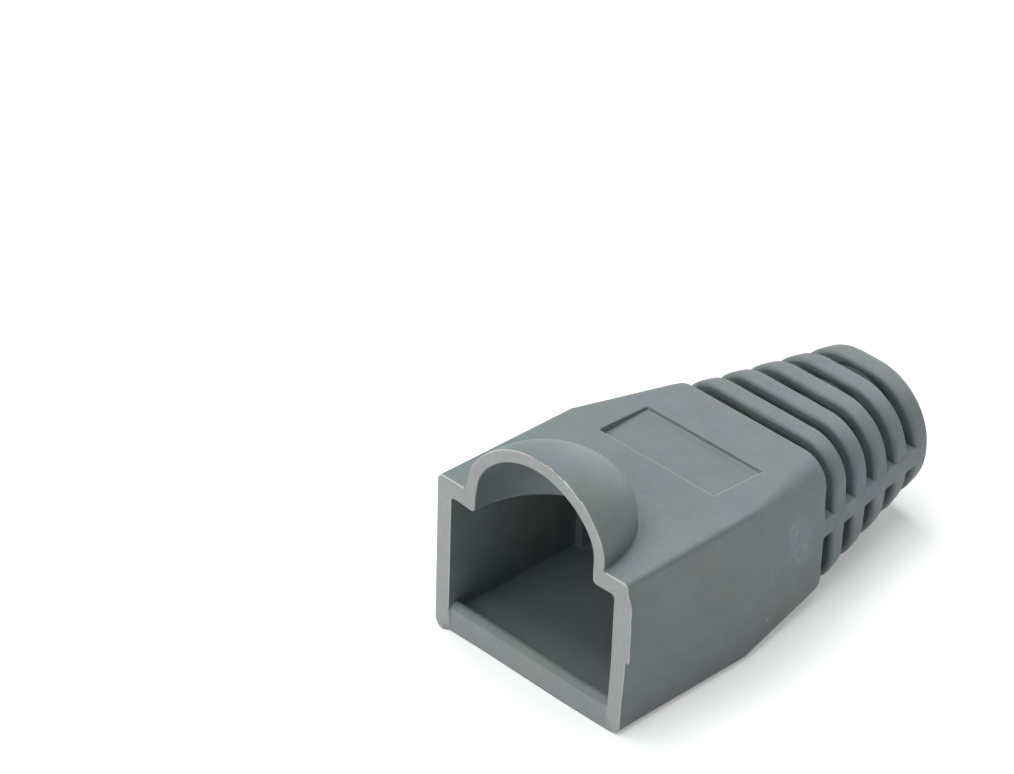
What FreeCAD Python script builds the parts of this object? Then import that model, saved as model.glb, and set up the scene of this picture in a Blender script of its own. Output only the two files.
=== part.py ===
"""Strain relief boot for an 8P8C (RJ45) plug: one soft moulded piece.

Frame: +X across the boot, +Y from the open mouth to the cable end, +Z up.
The origin is at the middle of the boot's box, on the flat underside.
Stations are distances behind the mouth; all sizes are in millimetres.
"""
import FreeCAD, Part
import math
import os
import re
import Sketcher
from FreeCAD import Vector

SIZES = (
    ("boot_length", 27.2, "mouth to cable end"),
    ("body_width", 13.9, "outside width of the straight body"),
    ("body_height", 9.84, "underside to top face of the straight body"),
    ("straight_length", 10.0, "mouth to the fold where the shoulder starts"),
    ("shoulder_length", 7.07, "fold to the first slot"),
    ("top_edge_radius", 0.35, "long upper edges of the straight body"),
    ("bottom_edge_radius", 0.6, "long lower edges of the straight body"),
    ("neck_width", 11.86, "width where the slots begin"),
    ("neck_drop", 0.45, "fall of the top face from the fold to the first slot"),
    ("neck_corner_radius", 1.8, "corners of the shoulder at the first slot"),
    ("tail_corner_radius", 2.3, "corners of the ribbed tail at the first slot"),
    ("axis_height", 4.9, "height of the cable axis"),
    ("collar_width", 8.86, "width of the end collar"),
    ("collar_height", 7.96, "height of the end collar"),
    ("collar_length", 1.35, "end collar, along the boot"),
    ("collar_corner_radius", 3.9, "corners of the nearly round end collar"),
    ("collar_edge_radius", 0.4, "rounded rim of the end collar"),
    ("slot_count", 5, "bending slots, evenly spaced from the shoulder to the collar"),
    ("slot_width", 0.78, "gap between two ribs"),
    ("rib_edge_radius", 0.2, "rounded edges of the ribs"),
    ("tube_radius", 3.55, "cable tube left inside the slots"),
    ("spine_height", 1.13, "bars along both sides that join the ribs"),
    ("spine_recess", 0.12, "how far a bar lies inside the rib faces"),
    ("bore_radius", 2.95, "cable hole"),
    ("side_wall", 0.95, "side walls of the plug socket"),
    ("top_wall", 1.1, "roof of the plug socket"),
    ("floor_wall", 1.0, "floor of the plug socket"),
    ("socket_corner_radius", 0.25, "inner corners of the plug socket"),
    ("socket_depth", 9.9, "mouth to the stop shoulder"),
    ("stop_step", 0.5, "ledge that stops the plug, at the sides and the roof"),
    ("throat_length", 5.6, "stop shoulder to the end of the narrowing throat"),
    ("throat_width", 8.4, "width at the end of the throat"),
    ("throat_height", 6.6, "height at the end of the throat"),
    ("throat_corner_radius", 1.6, "corners at the end of the throat"),
    ("sill_height", 0.78, "lip across the floor at the mouth"),
    ("sill_thickness", 0.7, "lip, front to back"),
    ("dome_width", 10.3, "latch cover, across"),
    ("dome_length", 6.0, "latch cover, mouth to its foot at the back"),
    ("dome_height", 4.08, "latch cover, widest level to crown"),
    ("dome_rise", 0.42, "top face to the latch cover's widest level"),
    ("dome_wall", 0.75, "latch cover wall"),
    ("dome_foot_radius", 0.2, "fillet where the latch cover meets the top face"),
    ("hollow_rim_radius", 0.3, "rounded rim where the hollow meets the socket roof"),
    ("label_start", 9.57, "mouth to the blank recess on top"),
    ("label_length", 3.81, "blank recess, along the boot"),
    ("label_width", 8.58, "blank recess, across the boot"),
    ("label_depth", 0.44, "level top face to the recess floor"),
)
NAMES = {alias for alias, _, _ in SIZES}

NECK = "(straight_length + shoulder_length)"
COLLAR = "(boot_length - collar_length)"
PITCH = "((%s - slot_width - %s) / (slot_count - 1))" % (COLLAR, NECK)
THROAT_END = "(socket_depth + throat_length)"
ROOF = "(body_height - top_wall)"
DOME_LEVEL = "(body_height + dome_rise)"
MOUTH_Y = "(-boot_length / 2)"

ON_PLANE = 0.01  # how near an edge lies to the plane it is looked for on


def make_sheet(doc):
    """Put the driving sizes in a spreadsheet, one alias each."""
    sheet = doc.addObject("Spreadsheet::Sheet", "Sizes")
    for row, (alias, value, meaning) in enumerate(SIZES, start=1):
        sheet.set("A%d" % row, alias)
        sheet.set("B%d" % row, str(value))
        sheet.set("C%d" % row, meaning)
        sheet.setAlias("B%d" % row, alias)
    doc.recompute()
    return sheet


def cell(formula):
    """Turn a formula of size names into an expression on the sheet."""
    return re.sub(r"[a-z_]+", lambda word: "Sizes." + word[0] if word[0] in NAMES else word[0], formula)


def value(body, formula):
    """Work a formula of size names out as a number."""
    result = body.evalExpression(cell(formula))
    return float(getattr(result, "Value", result))


def origin_item(body, role):
    """Return one of the body's own origin planes."""
    return next(item for item in body.Origin.OriginFeatures if item.Role == role)


def new_sketch(body, name, plane, offset):
    """Start a sketch on an origin plane, moved by formulas for its own x, y and z."""
    sketch = body.newObject("Sketcher::SketchObject", name)
    sketch.AttachmentSupport = [(origin_item(body, plane), "")]
    sketch.MapMode = "FlatFace"
    for axis, formula in offset.items():
        sketch.setExpression("AttachmentOffset.Base." + axis, cell(formula))
    return sketch


def cross_sketch(body, name, station):
    """Start a sketch across the boot, a distance behind the mouth."""
    return new_sketch(body, name, "XZ_Plane", {"z": "boot_length / 2 - (%s)" % station})


def drive(sketch, name, formula, kind, *where):
    """Add a dimension to a sketch and tie it to a formula of size names."""
    size = value(sketch.getParentGeoFeatureGroup(), formula)
    index = sketch.addConstraint(Sketcher.Constraint(kind, *where, size))
    sketch.renameConstraint(index, name)
    sketch.setExpression("Constraints." + name, cell(formula))


def line(start, end):
    """Return a sketch line between two points of the sketch."""
    return Part.LineSegment(Vector(*start, 0), Vector(*end, 0))


def arc(centre, radius, first_degrees, turn_degrees):
    """Return an arc that runs anticlockwise from an angle."""
    circle = Part.Circle(Vector(*centre, 0), Vector(0, 0, 1), radius)
    first = math.radians(first_degrees)
    return Part.ArcOfCircle(circle, first, first + math.radians(turn_degrees))


def outline(sketch, points):
    """Sketch a closed outline of straight lines."""
    for index, start in enumerate(points):
        sketch.addGeometry(line(start, points[(index + 1) % len(points)]), False)
    for index in range(len(points)):
        following = (index + 1) % len(points)
        sketch.addConstraint(Sketcher.Constraint("Coincident", index, 2, following, 1))


def circle_on_axis(body, name, station, radius):
    """Sketch a circle round the cable axis, a distance behind the mouth."""
    sketch = cross_sketch(body, name, station)
    centre = Vector(0, value(body, "axis_height"), 0)
    sketch.addGeometry(Part.Circle(centre, Vector(0, 0, 1), value(body, radius)), False)
    sketch.addConstraint(Sketcher.Constraint("PointOnObject", 0, 3, -2))
    drive(sketch, "axis", "axis_height", "DistanceY", -1, 1, 0, 3)
    drive(sketch, "size", radius, "Radius", 0)
    return sketch


def rounded_section(body, name, station, width, bottom, top, lower_radius, upper_radius):
    """Sketch a rectangle across the boot with rounded lower and upper corners."""
    sketch = cross_sketch(body, name, station)
    half = value(body, width) / 2
    low = value(body, bottom)
    high = value(body, top)
    under = value(body, lower_radius)
    over = value(body, upper_radius)
    sketch.addGeometry([
        line((under - half, low), (half - under, low)),
        arc((half - under, low + under), under, 270, 90),
        line((half, low + under), (half, high - over)),
        arc((half - over, high - over), over, 0, 90),
        line((half - over, high), (over - half, high)),
        arc((over - half, high - over), over, 90, 90),
        line((-half, high - over), (-half, low + under)),
        arc((under - half, low + under), under, 180, 90),
    ], False)
    for edge in range(8):
        sketch.addConstraint(Sketcher.Constraint("Tangent", edge, 2, (edge + 1) % 8, 1))
    sketch.addConstraint(Sketcher.Constraint("Symmetric", 0, 1, 0, 2, -2))
    sketch.addConstraint(Sketcher.Constraint("Horizontal", 4))
    sketch.addConstraint(Sketcher.Constraint("Vertical", 2))
    sketch.addConstraint(Sketcher.Constraint("Vertical", 6))
    sketch.addConstraint(Sketcher.Constraint("Equal", 1, 7))
    sketch.addConstraint(Sketcher.Constraint("Equal", 3, 5))
    drive(sketch, "width", width, "DistanceX", 6, 1, 2, 2)
    drive(sketch, "bottom", bottom, "DistanceY", -1, 1, 0, 1)
    drive(sketch, "top", top, "DistanceY", -1, 1, 4, 1)
    drive(sketch, "lower", lower_radius, "Radius", 1)
    drive(sketch, "upper", upper_radius, "Radius", 3)
    return sketch


def feature(body, kind, name, profile=None, length=None):
    """Add a PartDesign feature, with its profile and length where it has them."""
    item = body.newObject("PartDesign::" + kind, name)
    item.Refine = False
    if profile:
        item.Profile = profile
    if length:
        item.setExpression("Length", cell(length))
    return item


def loft(doc, body, kind, name, sections):
    """Join sketches across the boot with straight rules."""
    item = feature(body, kind, name, profile=sections[0])
    item.Sections = sections[1:]
    item.Ruled = True
    doc.recompute()


def half_ellipsoid(doc, body, kind, name, wall):
    """Add or cut half an ellipsoid that is cut off at the mouth, less a wall all round."""
    item = feature(body, kind, name)
    item.AttachmentSupport = [(origin_item(body, "XY_Plane"), "")]
    item.MapMode = "FlatFace"
    item.setExpression("AttachmentOffset.Base.y", cell(MOUTH_Y))
    item.setExpression("AttachmentOffset.Base.z", cell(DOME_LEVEL))
    item.setExpression("Radius1", cell("dome_height - %s" % wall))
    item.setExpression("Radius2", cell("dome_width / 2 - %s" % wall))
    item.setExpression("Radius3", cell("dome_length - %s" % wall))
    item.Angle1 = -90
    item.Angle2 = 90
    item.Angle3 = 180
    doc.recompute()


def fillet(doc, body, name, wanted, radius):
    """Round the edges of the body so far that pass a test."""
    base = body.Tip
    names = ["Edge%d" % index for index, edge in enumerate(base.Shape.Edges, start=1) if wanted(edge)]
    item = feature(body, "Fillet", name)
    item.Base = (base, names)
    item.setExpression("Radius", cell(radius))
    doc.recompute()


def curved_at_level(height):
    """Return a test for curved edges that lie flat at a height."""
    def wanted(edge):
        box = edge.BoundBox
        level = abs(box.ZMin - height) < ON_PLANE and abs(box.ZMax - height) < ON_PLANE
        return level and min(box.XLength, box.YLength) > ON_PLANE
    return wanted


def outer_at_stations(body, stations):
    """Return a test for edges across the boot, outside the cable tube, at some stations."""
    mouth = value(body, MOUTH_Y)
    axis = value(body, "axis_height")
    reach = value(body, "tube_radius")

    def wanted(edge):
        box = edge.BoundBox
        near = [y for y in stations
                if abs(box.YMin - mouth - y) < ON_PLANE and abs(box.YMax - mouth - y) < ON_PLANE]
        middle = edge.valueAt((edge.FirstParameter + edge.LastParameter) / 2)
        return bool(near) and math.hypot(middle.x, middle.z - axis) > reach + ON_PLANE
    return wanted


def body_form(doc, body):
    """The moulded outside: a straight box at the mouth, then the tapering shoulder."""
    box = ("body_width", "0", "body_height", "bottom_edge_radius", "top_edge_radius")
    mouth = rounded_section(body, "MouthSection", "0", *box)
    fold = rounded_section(body, "FoldSection", "straight_length", *box)
    neck = rounded_section(body, "NeckSection", NECK, "neck_width", "0", "body_height - neck_drop",
                           "neck_corner_radius", "neck_corner_radius")
    loft(doc, body, "AdditiveLoft", "BodyForm", [mouth, fold, neck])


def latch_cover(doc, body):
    """The domed cover over the plug's latch, with its filleted foot."""
    half_ellipsoid(doc, body, "AdditiveEllipsoid", "LatchCover", "0")
    fillet(doc, body, "CoverFoot", curved_at_level(value(body, "body_height")), "dome_foot_radius")


def plug_socket(doc, body):
    """The open box for the plug, the stop shoulder behind it, and the throat."""
    corners = ("socket_corner_radius", "socket_corner_radius")
    inside = "body_width - 2 * side_wall"
    mouth = rounded_section(body, "SocketSection", "0", inside, "floor_wall", ROOF, *corners)
    feature(body, "Pocket", "Socket", profile=mouth, length="socket_depth")
    doc.recompute()
    stop = rounded_section(body, "StopSection", "socket_depth", inside + " - 2 * stop_step",
                           "floor_wall", ROOF + " - stop_step", *corners)
    end = rounded_section(body, "ThroatSection", THROAT_END, "throat_width",
                          "axis_height - throat_height / 2", "axis_height + throat_height / 2",
                          "throat_corner_radius", "throat_corner_radius")
    loft(doc, body, "SubtractiveLoft", "Throat", [stop, end])


def latch_hollow(doc, body):
    """The hollow under the latch cover, open to the mouth and down to the socket."""
    half_ellipsoid(doc, body, "SubtractiveEllipsoid", "CoverHollow", "dome_wall")
    sketch = new_sketch(body, "HollowPlan", "XY_Plane", {"y": MOUTH_Y, "z": DOME_LEVEL})
    across = "dome_width / 2 - dome_wall"
    along = "dome_length - dome_wall"
    back = Vector(0, value(body, along), 0)
    side = Vector(value(body, across), 0, 0)
    sketch.addGeometry(Part.Ellipse(back, side, Vector(0, 0, 0)), False)
    sketch.exposeInternalGeometry(0)
    sketch.addConstraint(Sketcher.Constraint("Coincident", 0, 3, -1, 1))
    sketch.addConstraint(Sketcher.Constraint("Vertical", 1))
    drive(sketch, "along", "2 * (%s)" % along, "Distance", 1)
    drive(sketch, "across", "2 * (%s)" % across, "Distance", 2)
    feature(body, "Pocket", "HollowWell", profile=sketch, length="dome_rise + top_wall + hollow_rim_radius")
    doc.recompute()
    fillet(doc, body, "HollowRim", curved_at_level(value(body, ROOF)), "hollow_rim_radius")


def mouth_sill(doc, body):
    """The low lip with a rounded top that stands on the floor, flush with the mouth."""
    sketch = new_sketch(body, "SillProfile", "YZ_Plane", {"x": MOUTH_Y})
    low = value(body, "floor_wall / 2")
    radius = value(body, "sill_thickness / 2")
    centre = value(body, "floor_wall + sill_height") - radius
    sketch.addGeometry([
        line((0, low), (2 * radius, low)),
        line((2 * radius, low), (2 * radius, centre)),
        arc((radius, centre), radius, 0, 180),
        line((0, centre), (0, low)),
    ], False)
    sketch.addConstraint(Sketcher.Constraint("Coincident", 0, 2, 1, 1))
    sketch.addConstraint(Sketcher.Constraint("Tangent", 1, 2, 2, 1))
    sketch.addConstraint(Sketcher.Constraint("Tangent", 2, 2, 3, 1))
    sketch.addConstraint(Sketcher.Constraint("Coincident", 3, 2, 0, 1))
    sketch.addConstraint(Sketcher.Constraint("Horizontal", 0))
    sketch.addConstraint(Sketcher.Constraint("Vertical", 1))
    sketch.addConstraint(Sketcher.Constraint("Vertical", 3))
    sketch.addConstraint(Sketcher.Constraint("PointOnObject", 0, 1, -2))
    drive(sketch, "low", "floor_wall / 2", "DistanceY", -1, 1, 0, 1)
    drive(sketch, "centre", "floor_wall + sill_height - sill_thickness / 2", "DistanceY", -1, 1, 2, 3)
    drive(sketch, "round", "sill_thickness / 2", "Radius", 2)
    sill = feature(body, "Pad", "Sill", profile=sketch, length="body_width - side_wall")
    sill.Midplane = True
    doc.recompute()


def label_recess(doc, body):
    """The shallow blank rectangle on top, with a level floor, across the fold."""
    sketch = new_sketch(body, "LabelPlan", "XY_Plane", {"y": MOUTH_Y, "z": "body_height - label_depth"})
    half = value(body, "label_width") / 2
    front = value(body, "label_start")
    back = front + value(body, "label_length")
    outline(sketch, [(-half, front), (half, front), (half, back), (-half, back)])
    sketch.addConstraint(Sketcher.Constraint("Symmetric", 0, 1, 0, 2, -2))
    sketch.addConstraint(Sketcher.Constraint("Horizontal", 2))
    sketch.addConstraint(Sketcher.Constraint("Vertical", 1))
    sketch.addConstraint(Sketcher.Constraint("Vertical", 3))
    drive(sketch, "width", "label_width", "DistanceX", 0, 1, 0, 2)
    drive(sketch, "start", "label_start", "DistanceY", -1, 1, 0, 1)
    drive(sketch, "length", "label_length", "DistanceY", 1, 1, 1, 2)
    label = feature(body, "Pocket", "Label", profile=sketch, length="2 * label_depth")
    label.Reversed = True
    doc.recompute()


def cable_tube(doc, body):
    """The round tube that runs inside the slots, solid until the bore is cut."""
    sketch = circle_on_axis(body, "TubeSection", THROAT_END, "tube_radius")
    tube = feature(body, "Pad", "CableTube", profile=sketch,
                   length="boot_length - collar_edge_radius - " + THROAT_END)
    tube.Reversed = True
    doc.recompute()


def tail_section(body, name, station):
    """Sketch the tail's outline, which tapers evenly from the neck to the collar's end."""
    share = "(%s - %s) / (boot_length - %s)" % (station, NECK, NECK)
    sizes = (
        ("neck_width", "collar_width"),
        ("0", "axis_height - collar_height / 2"),
        ("(body_height - neck_drop)", "axis_height + collar_height / 2"),
        ("tail_corner_radius", "collar_corner_radius"),
        ("tail_corner_radius", "collar_corner_radius"),
    )
    tapered = ["%s + (%s - %s) * %s" % (neck, collar, neck, share) for neck, collar in sizes]
    return rounded_section(body, name, station, *tapered)


def ribs_and_collar(doc, body, count):
    """A rib round the tube behind each slot; behind the last one, the longer collar."""
    for index in range(count):
        name = "Rib%d" % (index + 1)
        front = "(%s + slot_width + %d * %s)" % (NECK, index, PITCH)
        back = "(%s + %d * %s)" % (NECK, index + 1, PITCH)
        if index == count - 1:
            name, front, back = "Collar", COLLAR, "boot_length"
        sections = [tail_section(body, name + "Front", front), tail_section(body, name + "Back", back)]
        loft(doc, body, "AdditiveLoft", name, sections)


def round_tail(doc, body, count):
    """Round the edges on both sides of every slot, and the rim of the collar."""
    slot_sides = [value(body, "%s + %d * %s + %s" % (NECK, index, PITCH, side))
                  for index in range(count) for side in ("0", "slot_width")]
    end = [value(body, "boot_length")]
    fillet(doc, body, "RibEdges", outer_at_stations(body, slot_sides), "rib_edge_radius")
    fillet(doc, body, "CollarEdge", outer_at_stations(body, end), "collar_edge_radius")


def spines(doc, body):
    """The bars along both sides, just inside the rib faces, that join the ribs."""
    sketch = new_sketch(body, "SpinePlan", "XY_Plane", {"y": MOUTH_Y, "z": "axis_height"})
    inner = "(bore_radius + tube_radius) / 2"
    front = "neck_width / 2 - spine_recess"
    back = "collar_width / 2 - spine_recess"
    end = "boot_length - collar_edge_radius"
    inner_x, front_x, back_x = (value(body, formula) for formula in (inner, front, back))
    front_y = value(body, NECK)
    back_y = value(body, end)
    outline(sketch, [(inner_x, front_y), (front_x, front_y), (back_x, back_y), (inner_x, back_y)])
    sketch.addConstraint(Sketcher.Constraint("Horizontal", 0))
    sketch.addConstraint(Sketcher.Constraint("Horizontal", 2))
    sketch.addConstraint(Sketcher.Constraint("Vertical", 3))
    drive(sketch, "inner", inner, "DistanceX", -1, 1, 0, 1)
    drive(sketch, "front", front, "DistanceX", -1, 1, 0, 2)
    drive(sketch, "back", back, "DistanceX", -1, 1, 1, 2)
    drive(sketch, "start", NECK, "DistanceY", -1, 1, 0, 1)
    drive(sketch, "end", end, "DistanceY", -1, 1, 2, 1)
    bar = feature(body, "Pad", "Spine", profile=sketch, length="spine_height")
    bar.Midplane = True
    doc.recompute()
    pair = feature(body, "Mirrored", "Spines")
    pair.Originals = [bar]
    pair.MirrorPlane = (origin_item(body, "YZ_Plane"), [""])
    body.Tip = pair
    doc.recompute()


def cable_bore(doc, body):
    """The round hole for the cable, from the end of the collar into the throat."""
    sketch = circle_on_axis(body, "BoreSection", "boot_length", "bore_radius")
    bore = feature(body, "Pocket", "Bore", profile=sketch, length="boot_length - socket_depth")
    bore.Reversed = True
    doc.recompute()


def check(doc, parts):
    """Stop if any feature failed or any sub-part's shape is unsound."""
    for item in doc.Objects:
        if "Invalid" in item.State or "Error" in item.State:
            raise RuntimeError("%s failed: %s" % (item.Name, item.State))
    for part in parts:
        if part.Shape.isNull() or not part.Shape.isValid() or len(part.Shape.Solids) != 1:
            raise RuntimeError("%s is not one sound solid" % part.Label)


def main():
    doc = FreeCAD.newDocument("StrainReliefBoot")
    sheet = make_sheet(doc)
    boot = doc.addObject("PartDesign::Body", "Boot")
    boot.Label = "boot"
    boot.Placement = FreeCAD.Placement()
    count = int(sheet.slot_count)
    body_form(doc, boot)
    latch_cover(doc, boot)
    plug_socket(doc, boot)
    latch_hollow(doc, boot)
    mouth_sill(doc, boot)
    label_recess(doc, boot)
    cable_tube(doc, boot)
    ribs_and_collar(doc, boot, count)
    round_tail(doc, boot, count)
    spines(doc, boot)
    cable_bore(doc, boot)
    parts = [boot]
    check(doc, parts)
    os.makedirs("parts", exist_ok=True)
    for part in parts:
        part.Shape.exportStep("parts/%s.step" % part.Label)
        print(part.Label, round(part.Shape.Volume, 3), "mm3", part.Shape.optimalBoundingBox())


main()
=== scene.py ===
"""Looks of a strain relief boot for an 8P8C (RJ45) plug: one soft PVC moulding.

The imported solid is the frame. A refined copy of it stands for it here, with the
fine rounds, the flash and the slight unevenness that a moulding has.
Sizes in the modelling functions are millimetres; the finished mesh is metres.
"""
import math

import bmesh
import bpy
from mathutils import Matrix, Vector, noise


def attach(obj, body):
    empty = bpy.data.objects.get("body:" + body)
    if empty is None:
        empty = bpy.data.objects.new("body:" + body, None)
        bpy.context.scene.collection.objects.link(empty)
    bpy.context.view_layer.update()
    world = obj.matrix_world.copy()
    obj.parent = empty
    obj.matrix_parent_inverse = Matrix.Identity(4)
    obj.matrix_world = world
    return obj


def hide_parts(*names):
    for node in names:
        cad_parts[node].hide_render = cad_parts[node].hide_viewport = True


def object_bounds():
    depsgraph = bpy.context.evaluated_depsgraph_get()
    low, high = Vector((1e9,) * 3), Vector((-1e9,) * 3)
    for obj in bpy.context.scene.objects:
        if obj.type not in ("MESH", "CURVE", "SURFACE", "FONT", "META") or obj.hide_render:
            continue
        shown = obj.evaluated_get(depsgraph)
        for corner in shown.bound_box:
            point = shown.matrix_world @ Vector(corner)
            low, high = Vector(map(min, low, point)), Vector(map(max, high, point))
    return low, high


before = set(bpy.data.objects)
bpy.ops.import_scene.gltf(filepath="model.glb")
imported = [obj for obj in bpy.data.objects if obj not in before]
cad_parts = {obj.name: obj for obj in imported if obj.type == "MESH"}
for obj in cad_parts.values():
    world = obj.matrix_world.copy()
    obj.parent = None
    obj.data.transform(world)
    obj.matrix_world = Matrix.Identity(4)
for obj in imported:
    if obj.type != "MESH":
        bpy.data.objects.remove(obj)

MM = 0.001
CAD_LOW, CAD_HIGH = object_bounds()
ON_PLANE = 0.004  # how near a point lies to the plane it is looked for on
SHARP = math.radians(35)  # edges that turn more than this stay creased

# Mouth, socket and latch cover
MOUTH = CAD_LOW.y / MM  # the plane of the open mouth
SOCKET_HALF_WIDTH = 6.0
SIDE_FACE = 6.9  # farther out, a point of the mouth's rim is on a side wall's outer face
TOP_FACE = 9.84
SHOULDERS = (5.3, 9.6)  # farther out and higher, it is on the top face beside the arch
ARCH_FOOT = 10.0  # higher still, it is on the arch of the latch cover
ARCH_LEVEL = 10.26  # where the arch is widest
ARCH_HALF_WIDTH, ARCH_HEIGHT = 5.15, 4.08
ARCH_OUTSIDE = 0.95  # share of the arch's reach beyond which a point is on its outer face

# The floor's front edge and the lip on it
FRONT_ROUND = 0.45
SILL_TOP, SILL_THICKNESS = 1.78, 0.7
FLOOR_STEP = 0.2  # how far the floor's front edge lies behind the left wall
FLOOR_SKEW = (5.0, -6.0)  # across the boot, where that step starts and where it is full
FLOOR_CUTS = (-4.0, -2.0, 0.0, 2.0, 4.0)

# Tail
TAIL_END = CAD_HIGH.y / MM
AXIS = 4.9  # height of the cable axis
FIRST_SLOT = MOUTH + 17.07
SLOT_WIDTH, SLOT_PITCH, SLOT_COUNT = 0.78, 2.0, 5
RIB = SLOT_PITCH - SLOT_WIDTH
TUBE_RADIUS = 3.55
OFF_TUBE = 0.1  # farther than this from the inner tube, a point is on a rib or a bar
BAR_HALF_HEIGHT = 0.565  # the bars along both sides that join the ribs
BAR_CUTS = (BAR_HALF_HEIGHT, BAR_HALF_HEIGHT + 0.1, 1.2)  # above and below the axis
FREE_OF_BAR = (BAR_HALF_HEIGHT + 0.1, 1.6)  # between these a rib starts to move by itself
BAR_REACH = 0.45  # how far inside the flank a bar's own surface can lie
RIB_CUTS = (0.04, 0.1, 0.17, 0.25, 0.35, 0.5, 0.7, 0.85)  # shares of a rib's length
RIB_DROOP = 0.1  # how far the front edge of a rib lies inside its middle
SLOT_SPREAD = 0.07  # how much nearer to the mouth each slot opens

# Label recess
LABEL_FRONT = MOUTH + 9.57
LABEL_HALF_WIDTH = 4.29
LABEL_ROUND = 0.1
LABEL_SPAN, LABEL_LEVEL = (-4.1, -0.1), 9.0  # they hold all its edges, along the boot and in height
LABEL_LINE = 0.012  # how near a point lies to the middle of a rounded edge

# Flash and wear of the mouth
FLASH_THICKNESS = 0.12
FLASH_TOP, FLASH_FOOT = 9.5, 4.85  # heights where the flash on the right starts and breaks off
FLASH_FADE = 1.2  # height over which it widens
FLASH_WIDTH, FLASH_RAGGED = 0.33, 0.04
STUB_WIDTH, STUB_HEIGHTS = 0.05, (2.0, 4.0)  # what is left of it below the break
LEDGES = (1.44, 1.26, 0.88)  # angles along the arch where a ledge of flash starts
LEDGE_SPAN, LEDGE_WIDTH = 0.3, 0.12
CHAMFER, CHAMFER_DEPTH = 0.05, 0.04
SHORTEST_EDGE = 0.02  # shorter edges of the mouth's outline would fold in the chamfer

# How the mouth of this moulding has set. A pair says where a fault starts and where it is full.
ARCH_REACH = 4.0  # how far behind the mouth the arch is uneven
HAUNCH_SAG, LEFT_SAG = 0.028, 0.02  # shares of the arch's own reach
CROWN_LEAN, CROWN_LIFT = 0.07, 0.12
WALL_REACH = 10.0  # how far behind the mouth the left wall is uneven
WALL_SPREAD, WALL_ACROSS, WALL_HEIGHTS = 0.3, (-5.2, -6.4), (0.0, 9.0)
WALL_FOOT = 0.3  # share of the spread that the foot of the wall has
SHOULDER_LIFT, SHOULDER_ACROSS, SHOULDER_HEIGHTS = 0.12, (-4.4, -5.8), (3.0, 9.0)
FOOT_REACH = 3.0  # how far behind the mouth its foot is uneven
FOOT_ADVANCE, FOOT_ACROSS, FOOT_HEIGHTS = 0.13, (-6.0, 6.0), (5.0, 0.5)

# Values of the vertex attribute that the colour follows: painted shade, the paler mouth face and
# painted highlights
# painted shade at the foot of each slot
PAINTED_SLOT_SHADE = -1.0
PALE_FACE = 0.5  # the mouth's face, coloured paler, beside its edges with painted highlights
SILL_SHARE = 0.45  # how much of that the floor's front edge has
# painted highlight along the near and right edges of the label recess
LABEL_HIGHLIGHT = 0.8
# painted highlight on the mouth's outer rim and on the left wall's inner edge
RIM_HIGHLIGHT = 1.0

# Colours of the moulding, and the size of its grain
BLUISH, GREENISH = "7c878b", "7f8885"
RUBBED, SPECK = "a3a9b4", "d0d3d3"
# the paler colour of the mouth's face, and the painted highlight on its rim and the label's edges
PALE_FACE_TINT, HIGHLIGHT_TINT = "a6aaa9", "dadcda"
GRAIN = 0.12

# Marks on the near side: centre, half sizes and tilt
RUB_AT, RUB_SIZE, RUB_TILT = (6.3, 1.0, 5.7), (1.0, 1.4, 2.6), math.radians(25)
SPECK_AT, SPECK_SIZE = (6.68, -1.76, 1.75), 0.12

# Studio
SOFTBOX_DISTANCE, SOFTBOX_SIZE = 0.6, 0.44
CARD_HALF_SIZE, CARD_GLOW = 1.5, 0.3
FOCAL_LENGTH, CAMERA_ROLL = 309.3, math.radians(2.4736)
CAMERA_PLACE, CAMERA_AIM = Vector((0.25872, -0.29476, 0.27778)), Vector((-0.01545, 0.000435, 0.005))


# ---------------------------------------------------------------- helpers

def linear(code):
    """Turn an sRGB hex value into a linear colour with full alpha."""
    steps = [int(code[i:i + 2], 16) / 255 for i in (0, 2, 4)]
    return [s / 12.92 if s <= 0.04045 else ((s + 0.055) / 1.055) ** 2.4 for s in steps] + [1.0]


def add_node(owner, kind, settings=(), links=()):
    """Add a node to a material or world, set its properties and sockets, and link its inputs."""
    node = owner.node_tree.nodes.new(kind)
    for name, wanted in dict(settings).items():
        if name in node.inputs:
            node.inputs[name].default_value = wanted
        else:
            setattr(node, name, wanted)
    for name, source in dict(links).items():
        owner.node_tree.links.new(source, node.inputs[name])
    return node


def add_object(name, data):
    """Put an object with its data into the scene."""
    item = bpy.data.objects.new(name, data)
    bpy.context.scene.collection.objects.link(item)
    return item


def add_mesh_object(name, bm, material):
    """Put a finished bmesh into the scene."""
    mesh = bpy.data.meshes.new(name)
    bm.to_mesh(mesh)
    bm.free()
    mesh.materials.append(material)
    return add_object(name, mesh)


def ramp(value, start, end):
    """Rise smoothly from 0 at the start to 1 at the end; the end may lie below the start."""
    share = min(max((value - start) / (end - start), 0.0), 1.0)
    return share * share * (3 - 2 * share)


# ---------------------------------------------------------------- where things are

def creased(edge):
    """Tell whether an edge turns sharply."""
    return len(edge.link_faces) == 2 and edge.calc_face_angle(0) > SHARP


def at_mouth(vert):
    """Tell whether a point lies in the plane of the mouth."""
    return abs(vert.co.y - MOUTH) < ON_PLANE


def from_axis(point):
    """Distance from the cable axis."""
    return math.hypot(point.x, point.z - AXIS)


def on_outside(point):
    """Tell whether a point of the mouth's rim is on its outer outline."""
    if point.z > ARCH_FOOT:
        reach = math.hypot(point.x / ARCH_HALF_WIDTH, (point.z - ARCH_LEVEL) / ARCH_HEIGHT)
        return reach > ARCH_OUTSIDE
    return abs(point.x) > SIDE_FACE or (abs(point.x) > SHOULDERS[0] and point.z > SHOULDERS[1])


def arch_angle(point):
    """Angle along the latch cover's arch, 0 at its right foot and pi at its left one."""
    return math.atan2(max(point.z - ARCH_LEVEL, 0.0) / ARCH_HEIGHT, point.x / ARCH_HALF_WIDTH)


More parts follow.
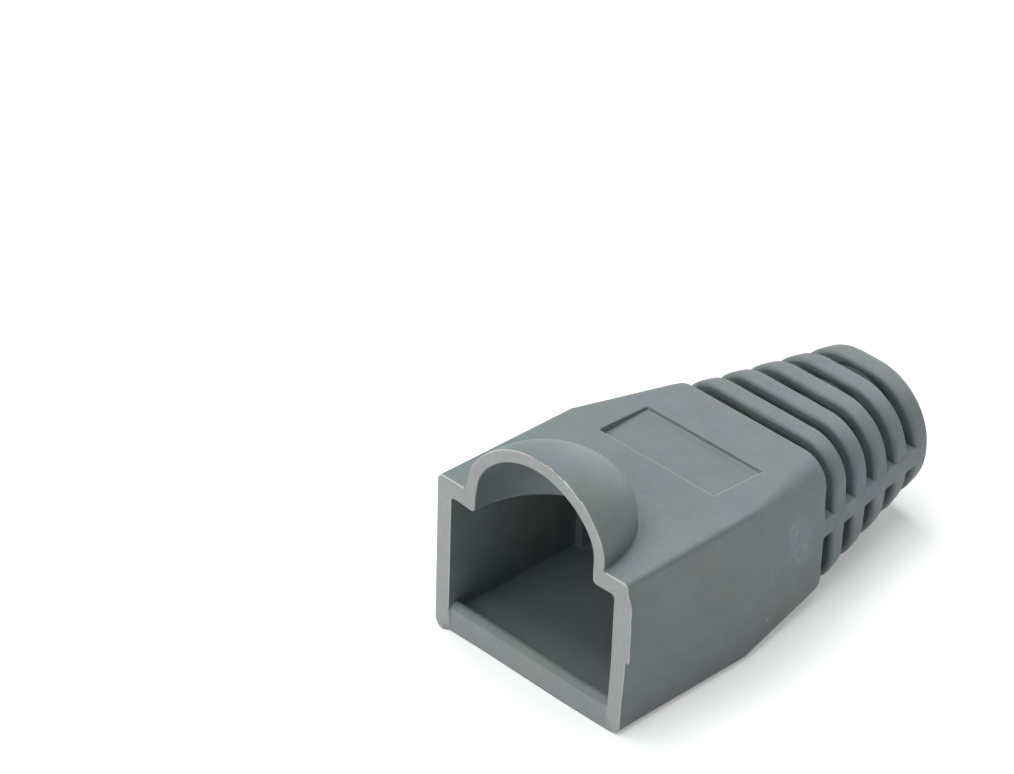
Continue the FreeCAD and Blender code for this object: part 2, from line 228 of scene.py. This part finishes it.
def at_label(vert):
    """Tell whether a point is one of the label recess."""
    across = abs(vert.co.x) < LABEL_HALF_WIDTH + 0.06
    return across and LABEL_SPAN[0] < vert.co.y < LABEL_SPAN[1] and vert.co.z > LABEL_LEVEL


def is_label_edge(edge):
    """Tell whether an edge belongs to the label recess."""
    return all(at_label(vert) for vert in edge.verts)


def is_floor_front(edge):
    """Tell whether an edge is the lower edge of the mouth."""
    return all(at_mouth(vert) and vert.co.z < 0.01 for vert in edge.verts)


def is_low_front(face):
    """Tell whether a face is in the plane of the mouth or on the lip behind it."""
    if all(at_mouth(vert) for vert in face.verts):
        return True
    return (min(vert.co.y for vert in face.verts) < MOUTH + SILL_THICKNESS + 0.1
            and min(vert.co.z for vert in face.verts) < SILL_TOP)


def is_by_mouth(face):
    """Tell whether a face reaches the part of the mouth that the flash grows from."""
    return min(vert.co.y for vert in face.verts) < MOUTH + FLASH_THICKNESS


def is_right_wall(face):
    """Tell whether a face by the mouth is on the right wall."""
    return is_by_mouth(face) and min(vert.co.x for vert in face.verts) > SOCKET_HALF_WIDTH - 0.1


def is_arch(face):
    """Tell whether a face by the mouth is on the latch cover's arch."""
    return is_by_mouth(face) and face.calc_center_median().z > ARCH_LEVEL - 0.1


def is_rib(face):
    """Tell whether a face is on the outside of the ribbed tail."""
    return (face.calc_center_median().y > FIRST_SLOT - RIB - 1.0
            and all(from_axis(vert.co) > TUBE_RADIUS + OFF_TUBE for vert in face.verts))


# ---------------------------------------------------------------- the moulding

def joined_shell():
    """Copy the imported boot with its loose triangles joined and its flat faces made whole."""
    bm = bmesh.new()
    bm.from_mesh(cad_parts["boot"].data)
    bmesh.ops.scale(bm, vec=(1 / MM,) * 3, verts=bm.verts)
    bmesh.ops.remove_doubles(bm, verts=bm.verts, dist=0.0005)
    bmesh.ops.dissolve_limit(bm, angle_limit=math.radians(0.1), verts=bm.verts, edges=bm.edges)
    return bm


def soften(bm, wanted, radius, segments):
    """Round the creased edges that pass a test."""
    edges = [edge for edge in bm.edges if creased(edge) and wanted(edge)]
    bmesh.ops.bevel(bm, geom=edges, offset=radius, offset_type="OFFSET", segments=segments,
                    profile=0.5, affect="EDGES", material=-1, clamp_overlap=True)


def cut_across(bm, axis, places, wanted):
    """Add a loop of edges at each place along an axis, on the faces that pass a test."""
    normal = Vector([1.0 if index == axis else 0.0 for index in range(3)])
    faces = [face for face in bm.faces if wanted(face)]
    edges = dict.fromkeys(edge for face in faces for edge in face.edges)
    verts = dict.fromkeys(vert for face in faces for vert in face.verts)
    geom = [*faces, *edges, *verts]
    for place in places:
        geom = bmesh.ops.bisect_plane(bm, geom=geom, dist=0.0005, plane_co=normal * place,
                                      plane_no=normal)["geom"]


def shape_slots(bm):
    """Soften the front edge of each rib and of the collar, and open each slot towards the mouth."""
    starts = [FIRST_SLOT + SLOT_PITCH * index for index in range(SLOT_COUNT)]
    rings = [start - RIB + RIB * share for start in starts + [TAIL_END] for share in RIB_CUTS]
    cut_across(bm, 1, rings, is_rib)
    cut_across(bm, 2, [AXIS + sign * height for sign in (-1, 1) for height in BAR_CUTS], is_rib)
    for vert in bm.verts:
        point = vert.co
        if point.y < starts[0] - RIB or from_axis(point) < TUBE_RADIUS - 0.05:
            continue
        place = (point.y - starts[0]) % SLOT_PITCH
        free = ramp(abs(point.z - AXIS), *FREE_OF_BAR)
        back_half = SLOT_PITCH - 0.5 * RIB
        at_slot = place < 0.01
        if place > back_half or at_slot:
            behind = 1.0 if at_slot else ramp(place, back_half, SLOT_PITCH - 0.15 * RIB)
            point.y -= SLOT_SPREAD * free * behind * (point.y < starts[-1] + 0.01)
        elif point.y > starts[0] + 0.1 and place > SLOT_WIDTH - 0.001:
            edge = max(1 - (place - SLOT_WIDTH) / (0.5 * RIB), 0.0) ** 3
            droop = RIB_DROOP * edge * free * ramp(from_axis(point), TUBE_RADIUS, TUBE_RADIUS + 0.5)
            vert.co += Vector((-point.x, 0, AXIS - point.z)).normalized() * droop


def flush_bars(bm):
    """Bring the bars and the rib edges beside them out to the flank that the ribs' middles give."""
    middles = [FIRST_SLOT + SLOT_PITCH * (index + 1) - 0.5 * RIB for index in range(SLOT_COUNT)]
    stops = [FIRST_SLOT - 0.1] + middles
    at_bar = [vert for vert in bm.verts if abs(vert.co.z - AXIS) < BAR_HALF_HEIGHT + 0.01
              and stops[0] < vert.co.y < stops[-1] and from_axis(vert.co) > TUBE_RADIUS + OFF_TUBE]
    widths = [max(abs(vert.co.x) for vert in at_bar if abs(vert.co.y - stop) < 0.3 * RIB)
              for stop in stops]
    for vert in at_bar:
        after = next(index for index, stop in enumerate(stops) if vert.co.y < stop)
        share = (vert.co.y - stops[after - 1]) / (stops[after] - stops[after - 1])
        flank = widths[after - 1] + (widths[after] - widths[after - 1]) * share
        if flank - BAR_REACH < abs(vert.co.x) < flank:
            vert.co.x = math.copysign(flank, vert.co.x)


def paint_slot_shade_and_label_highlight(bm):
    """Paint shade at the foot of each slot and a highlight along the near and right edges of the
    label recess.
    """
    shade_highlight_and_paleness = bm.verts.layers.float.new("shade_highlight_and_paleness")
    middle = LABEL_ROUND * (1 - math.sqrt(0.5))  # where the middle of a rounded edge lies
    for vert in bm.verts:
        near_edge = abs(LABEL_FRONT - middle - vert.co.y) < LABEL_LINE
        right_edge = abs(LABEL_HALF_WIDTH + middle - vert.co.x) < LABEL_LINE
        # painted highlight on the near and right edges of the label recess
        if at_label(vert) and (near_edge or right_edge):
            vert[shade_highlight_and_paleness] = LABEL_HIGHLIGHT
        # painted shade at the foot of each slot, darkest by the inner tube
        elif vert.co.y > FIRST_SLOT - 0.1 and abs(from_axis(vert.co) - TUBE_RADIUS) < 0.06:
            vert[shade_highlight_and_paleness] = PAINTED_SLOT_SHADE


def flash_width(point):
    """Width of the thin flash that the mould left round the mouth, at a point of the outer edge."""
    if point.x > SOCKET_HALF_WIDTH + 0.5:
        if point.z <= FLASH_FOOT:
            return STUB_WIDTH * ramp(point.z, *STUB_HEIGHTS)
        broad = noise.noise(Vector((point.z * 2.1, 0.7, 0)))
        fine = noise.noise(Vector((point.z * 7.0, 3.1, 0)))
        width = FLASH_WIDTH + FLASH_RAGGED * (broad + 0.35 * fine)
        return width * ramp(point.z, FLASH_TOP, FLASH_TOP - FLASH_FADE)
    if point.z > ARCH_LEVEL:
        for start in LEDGES:
            share = (arch_angle(point) - start) / LEDGE_SPAN + 1
            if 0 < share < 1:
                return LEDGE_WIDTH * share
    return 0.0


def grow_flash(bm):
    """Widen the outer rim of the mouth face into a ragged, paper-thin flash."""
    wall = SOCKET_HALF_WIDTH - 0.1
    steps = [2.0 + 0.2 * step for step in range(39)] + [FLASH_FOOT - 0.01, FLASH_FOOT + 0.01]
    breaks = [ARCH_HALF_WIDTH * math.cos(start) + gap for start in LEDGES for gap in (-0.01, 0.12)]
    cut_across(bm, 1, (MOUTH + FLASH_THICKNESS, MOUTH + 1.3 * FLASH_THICKNESS), is_by_mouth)
    cut_across(bm, 0, (-wall, wall), is_by_mouth)
    cut_across(bm, 2, (ARCH_LEVEL - 0.1,), is_by_mouth)
    cut_across(bm, 2, steps, is_right_wall)
    cut_across(bm, 0, [0.5 * step for step in range(10)] + breaks, is_arch)
    for vert in bm.verts:
        if vert.co.y < MOUTH + 1.1 * FLASH_THICKNESS and on_outside(vert.co):
            level = ARCH_LEVEL if vert.co.z > TOP_FACE else vert.co.z
            out = Vector((vert.co.x, 0, vert.co.z - level)).normalized()
            vert.co += out * flash_width(vert.co)


def mouth_faces(bm):
    """List the faces that lie in the plane of the mouth."""
    return [face for face in bm.faces if all(at_mouth(vert) for vert in face.verts)]


def chamfer_mouth_and_paint_rim(bm):
    """Chamfer the edges of the mouth finely, colour its face paler, and paint a highlight on its
    outer rim and on the left wall's inner edge.
    """
    shade_highlight_and_paleness = bm.verts.layers.float["shade_highlight_and_paleness"]
    outline = list(dict.fromkeys(edge for face in mouth_faces(bm) for edge in face.edges))
    bmesh.ops.dissolve_degenerate(bm, dist=SHORTEST_EDGE, edges=outline)
    front = mouth_faces(bm)
    ring = bmesh.ops.inset_region(bm, faces=front, thickness=CHAMFER, depth=0.0,
                                  use_even_offset=True, use_boundary=True)["faces"]
    # the mouth's face is coloured paler, the floor's front edge and lip less so
    for vert in {vert for face in front for vert in face.verts}:
        on_sill = vert.co.z < SILL_TOP and abs(vert.co.x) < SOCKET_HALF_WIDTH
        vert[shade_highlight_and_paleness] = PALE_FACE * (SILL_SHARE if on_sill else 1.0)
    rim = {vert for face in ring for edge in face.edges if creased(edge) for vert in edge.verts}
    for vert in rim:
        vert.co.y += CHAMFER_DEPTH
        on_left_wall = vert.co.x < -SOCKET_HALF_WIDTH + 0.1 and vert.co.z < TOP_FACE - 1.2
        # painted highlight on the outer rim and on the left wall's inner edge
        if on_outside(vert.co) or on_left_wall:
            vert[shade_highlight_and_paleness] = RIM_HIGHLIGHT


def set_floor_askew(bm):
    """Let the floor's front edge and its lip lie behind the left wall, less and less to the right."""
    inside = SOCKET_HALF_WIDTH - 0.02
    cut_across(bm, 0, (-inside, *FLOOR_CUTS, inside), is_low_front)
    for vert in bm.verts:
        point = vert.co
        between_walls = abs(point.x) < inside + ON_PLANE
        if between_walls and point.z < SILL_TOP + 0.1 and point.y < MOUTH + SILL_THICKNESS + 0.02:
            point.y += FLOOR_STEP * ramp(point.x, *FLOOR_SKEW)


def settle(bm):
    """Give the mouth the lean of a soft moulding: its left wall spreads and its arch sags."""
    for vert in bm.verts:
        point = vert.co
        near_wall = ramp(point.y, MOUTH + WALL_REACH, MOUTH)
        wall = ramp(point.x, *WALL_ACROSS)
        if point.z > TOP_FACE:
            angle = arch_angle(point)
            near_arch = ramp(point.y, MOUTH + ARCH_REACH, MOUTH)
            sag = HAUNCH_SAG * math.sin(2 * angle) ** 2 + LEFT_SAG * ramp(angle, 2.0, math.pi)
            sag *= near_arch * ramp(point.z, TOP_FACE, TOP_FACE + 0.6)
            point.x -= sag * point.x
            point.z -= sag * (point.z - ARCH_LEVEL)
            crown = math.sin(angle) * near_arch
            point.x -= CROWN_LEAN * crown
            point.z += CROWN_LIFT * crown
        height_share = WALL_FOOT + (1 - WALL_FOOT) * ramp(point.z, *WALL_HEIGHTS)
        point.x -= WALL_SPREAD * near_wall * wall * height_share
        shoulder = ramp(point.x, *SHOULDER_ACROSS)
        point.z += SHOULDER_LIFT * near_wall * shoulder * ramp(point.z, *SHOULDER_HEIGHTS)
        low = ramp(point.z, *FOOT_HEIGHTS) * ramp(point.y, MOUTH + FOOT_REACH, MOUTH)
        point.y -= FOOT_ADVANCE * low * ramp(point.x, *FOOT_ACROSS)


def finish_piece(bm, name, material):
    """Turn the millimetre mesh into a smooth-shaded piece of the boot."""
    bmesh.ops.dissolve_degenerate(bm, dist=0.0002, edges=bm.edges)
    bmesh.ops.scale(bm, vec=(MM,) * 3, verts=bm.verts)
    for face in bm.faces:
        face.smooth = True
    for edge in bm.edges:
        edge.smooth = not creased(edge)
    piece = add_mesh_object(name, bm, material)
    weighted = piece.modifiers.new("FlatFacesStayFlat", "WEIGHTED_NORMAL")
    weighted.keep_sharp = True
    return piece


# ---------------------------------------------------------------- materials

def unevenness(material, place, size, detail=2.0, spread=(0.0, 1.0)):
    """Random unevenness with features of a real size in millimetres, as values within a spread."""
    pattern = add_node(material, "ShaderNodeTexNoise", {"Scale": 1 / (size * MM), "Detail": detail},
                       {"Vector": place})
    limits = {"From Min": 0.3, "From Max": 0.7, "To Min": spread[0], "To Max": spread[1]}
    return add_node(material, "ShaderNodeMapRange", limits,
                    {"Value": pattern.outputs["Fac"]}).outputs["Result"]


def spot_mask(material, place, centre, sizes, tilt):
    """Fade from 1 at a centre to 0 at the rim of an ellipsoid that is tilted in the side view."""
    own_frame = add_node(material, "ShaderNodeMapping", {
        "vector_type": "TEXTURE", "Location": [MM * v for v in centre], "Rotation": (tilt, 0, 0),
        "Scale": [MM * v for v in sizes]}, {"Vector": place})
    away = add_node(material, "ShaderNodeVectorMath", {"operation": "LENGTH"},
                    {0: own_frame.outputs["Vector"]})
    return add_node(material, "ShaderNodeMapRange", {"From Min": 1.0, "From Max": 0.25},
                    {"Value": away.outputs["Value"]}).outputs["Result"]


def moulded_pvc():
    """Soft plasticised PVC with grey pigment, injection moulded in a finely spark-eroded mould.

    The eroded grain makes it satin, nearly matt, and breaks up every highlight. The pigment clouds
    a little, bluish here and greenish there. The mouth's face is coloured paler, and painted
    highlights make its outer edges palest; painted shade darkens the foot of each slot, and
    painted highlights lighten the near and right edges of the label recess. Handling left a
    light rub beside the first slot.
    """
    material = bpy.data.materials.new("moulded_soft_pvc")
    material.use_nodes = True
    shader = material.node_tree.nodes["Principled BSDF"]
    place = add_node(material, "ShaderNodeTexCoord").outputs["Object"]
    shade_highlight_and_paleness = add_node(material, "ShaderNodeAttribute", {"attribute_name": "shade_highlight_and_paleness"}).outputs["Fac"]

    cloudy = unevenness(material, place, 4.0)
    colour = add_node(material, "ShaderNodeMixRGB",
                      {"Color1": linear(BLUISH), "Color2": linear(GREENISH)}, {"Fac": cloudy})

    scuffs = unevenness(material, place, 0.5, detail=4.0)
    rub = add_node(material, "ShaderNodeMath", {"operation": "MULTIPLY"},
                   {0: spot_mask(material, place, RUB_AT, RUB_SIZE, RUB_TILT), 1: scuffs}).outputs[0]
    speck = spot_mask(material, place, SPECK_AT, (SPECK_SIZE,) * 3, 0.0)
    # rub and speck are marks of the moulding; then the paler mouth face, and the painted highlights
    # on the mouth's rim and the label's edges
    for mark, none, full, strength, over in (
            (rub, 0, 1, 0.7, RUBBED),
            (speck, 0, 1, 0.6, SPECK),
            (shade_highlight_and_paleness, 0, PALE_FACE, 1, PALE_FACE_TINT),
            (shade_highlight_and_paleness, PALE_FACE, RIM_HIGHLIGHT, 1, HIGHLIGHT_TINT)):
        share = add_node(material, "ShaderNodeMapRange",
                         {"From Min": none, "From Max": full, "To Max": strength}, {"Value": mark})
        colour = add_node(material, "ShaderNodeMixRGB", {"Color2": linear(over)},
                          {"Fac": share.outputs["Result"], "Color1": colour.outputs["Color"]})

    patchy = unevenness(material, place, 1.3, spread=(0.96, 1.04))
    grain = unevenness(material, place, GRAIN, detail=1.0, spread=(0.95, 1.05))
    # painted shade: the foot of each slot darkens to 0.3 of its colour
    shade = add_node(material, "ShaderNodeMapRange",
                     {"From Min": PAINTED_SLOT_SHADE, "From Max": 0, "To Min": 0.3, "To Max": 1},
                     {"Value": shade_highlight_and_paleness}).outputs["Result"]
    for tone in (patchy, grain, shade):
        colour = add_node(material, "ShaderNodeMixRGB", {"blend_type": "MULTIPLY", "Fac": 1.0},
                          {"Color1": colour.outputs["Color"], "Color2": tone})
    material.node_tree.links.new(colour.outputs["Color"], shader.inputs["Base Color"])

    uneven = unevenness(material, place, 2.2, spread=(0.5, 0.6))
    material.node_tree.links.new(uneven, shader.inputs["Roughness"])
    shader.inputs["IOR"].default_value = 1.53
    shader.inputs["Specular IOR Level"].default_value = 0.4

    sunken = unevenness(material, place, 2.5)
    sink = add_node(material, "ShaderNodeBump", {"Strength": 1.0, "Distance": 0.02 * MM},
                    {"Height": sunken})
    pitted = unevenness(material, place, GRAIN, detail=1.0)
    eroded = add_node(material, "ShaderNodeBump", {"Strength": 0.6, "Distance": 0.006 * MM},
                      {"Height": pitted, "Normal": sink.outputs["Normal"]})
    material.node_tree.links.new(eroded.outputs["Normal"], shader.inputs["Normal"])
    return material


def white_card():
    """Matt card. To the camera and in reflections it glows a little, so that it shows plain white."""
    material = bpy.data.materials.new("white_card")
    material.use_nodes = True
    material.node_tree.nodes.clear()
    card = add_node(material, "ShaderNodeBsdfDiffuse", {"Color": linear("f2f2f2")})
    path = add_node(material, "ShaderNodeLightPath")
    seen = add_node(material, "ShaderNodeMath", {"operation": "ADD", "use_clamp": True},
                    {0: path.outputs["Is Camera Ray"], 1: path.outputs["Is Glossy Ray"]})
    dark = add_node(material, "ShaderNodeEmission", {"Strength": 0.0})
    lift = add_node(material, "ShaderNodeEmission", {"Strength": CARD_GLOW})
    glow = add_node(material, "ShaderNodeMixShader",
                    links={0: seen.outputs[0], 1: dark.outputs[0], 2: lift.outputs[0]})
    both = add_node(material, "ShaderNodeAddShader", links={0: card.outputs[0], 1: glow.outputs[0]})
    add_node(material, "ShaderNodeOutputMaterial", links={"Surface": both.outputs[0]})
    return material


# ---------------------------------------------------------------- studio

def studio_floor():
    """Lay the card that the boot lies on."""
    bm = bmesh.new()
    bmesh.ops.create_grid(bm, x_segments=1, y_segments=1, size=CARD_HALF_SIZE)
    add_mesh_object("floor", bm, white_card())


def softbox(name, azimuth, elevation, level):
    """Hang a square softbox that faces the boot.

    Azimuth 0 is before the mouth and 90 on the boot's right. At level 1 a white card that faces
    the box renders white.
    """
    turn, rise = math.radians(azimuth), math.radians(elevation)
    towards = Vector((math.sin(turn) * math.cos(rise), -math.cos(turn) * math.cos(rise),
                      math.sin(rise)))
    lamp = bpy.data.lights.new(name, "AREA")
    lamp.shape = "SQUARE"
    lamp.size = SOFTBOX_SIZE
    lamp.energy = level * (math.pi * SOFTBOX_DISTANCE) ** 2
    place = Matrix.Translation(towards * SOFTBOX_DISTANCE)
    facing = (-towards).to_track_quat("-Z", "Y").to_matrix().to_4x4()
    add_object(name, lamp).matrix_world = place @ facing


def pale_world(strength):
    """White surroundings: faint as a light, full where the camera looks at them."""
    world = bpy.data.worlds.new("pale_studio")
    bpy.context.scene.world = world
    world.use_nodes = True
    back = world.node_tree.nodes["Background"]
    back.inputs["Color"].default_value = (1, 1, 1, 1)
    path = add_node(world, "ShaderNodeLightPath")
    seen = add_node(world, "ShaderNodeMath", {"operation": "MAXIMUM"},
                    {0: path.outputs["Is Camera Ray"], 1: path.outputs["Is Transmission Ray"]})
    level = add_node(world, "ShaderNodeMapRange", {"To Min": strength, "To Max": 1.0},
                     {"Value": seen.outputs[0]})
    world.node_tree.links.new(level.outputs["Result"], back.inputs["Strength"])


def camera():
    """A long lens three-quarter view from the mouth end."""
    data = bpy.data.cameras.new("camera")
    data.lens = FOCAL_LENGTH
    data.sensor_width = 36.0
    data.clip_start, data.clip_end = 0.05, 20.0
    level = (CAMERA_AIM - CAMERA_PLACE).to_track_quat("-Z", "Y").to_matrix().to_4x4()
    roll = Matrix.Rotation(CAMERA_ROLL, 4, "Z")
    eye = add_object("camera", data)
    eye.matrix_world = Matrix.Translation(CAMERA_PLACE) @ level @ roll
    bpy.context.scene.camera = eye


# ---------------------------------------------------------------- the scene

shell = joined_shell()
soften(shell, is_label_edge, LABEL_ROUND, segments=2)
soften(shell, is_floor_front, FRONT_ROUND, segments=6)
shape_slots(shell)
flush_bars(shell)
paint_slot_shade_and_label_highlight(shell)
grow_flash(shell)
chamfer_mouth_and_paint_rim(shell)
set_floor_askew(shell)
settle(shell)
boot = finish_piece(shell, "boot_moulding", moulded_pvc())
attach(boot, "root")
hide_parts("boot")

studio_floor()
softbox("overhead_softbox", 0, 88, 0.52)
softbox("left_softbox", -90, 62, 0.46)
softbox("back_softbox", -165, 14, 0.44)
softbox("back_right_softbox", 140, 18, 0.05)
softbox("front_softbox", -6, 30, 0.38)
pale_world(0.02)
camera()

view = bpy.context.scene.view_settings
view.view_transform = "Standard"
